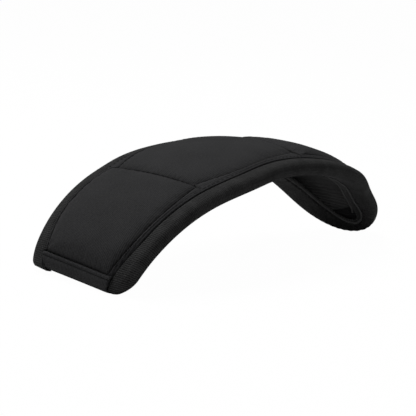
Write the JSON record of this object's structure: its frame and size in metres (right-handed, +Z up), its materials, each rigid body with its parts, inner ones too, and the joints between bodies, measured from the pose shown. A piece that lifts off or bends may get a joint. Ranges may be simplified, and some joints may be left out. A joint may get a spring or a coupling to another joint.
{
  "type": "shoulder cushion pad",
  "caption": "Arched padded slip-on cover with quilted panels on its face, rolled knit side bands and an open channel below for the strap or bar it cushions.",
  "frame": {"origin": "on the surface the pad stands on, below the middle of its box", "axes": "+X runs along the pad from its square end to its round end, +Y is to the rear, +Z is up; the pad stands as an arch on its two ends"},
  "size_m": [0.2252, 0.0808, 0.0597],
  "materials": {
    "face_cloth": "matt close-woven black cloth",
    "side_knit": "fine-ribbed brushed black stretch knit",
    "lining_knit": "dark ribbed knit lining",
    "foam": "soft open-cell foam, hidden"
  },
  "bodies": {
    "root": {"left_end_panel": "face_cloth", "middle_panel": "face_cloth", "right_end_panel": "face_cloth", "front_seam_strip": "face_cloth", "rear_seam_strip": "face_cloth", "square_end_hem": "face_cloth", "front_side_band": "side_knit", "rear_side_band": "side_knit", "front_mouth_binding": "side_knit", "rear_mouth_binding": "side_knit", "inner_lining": "lining_knit", "front_mouth_facing": "lining_knit", "rear_mouth_facing": "lining_knit", "left_end_foam": "foam", "middle_foam": "foam", "right_end_foam": "foam", "front_edge_roll": "foam", "rear_edge_roll": "foam", "square_end_roll": "foam"}
  },
  "joints": []
}
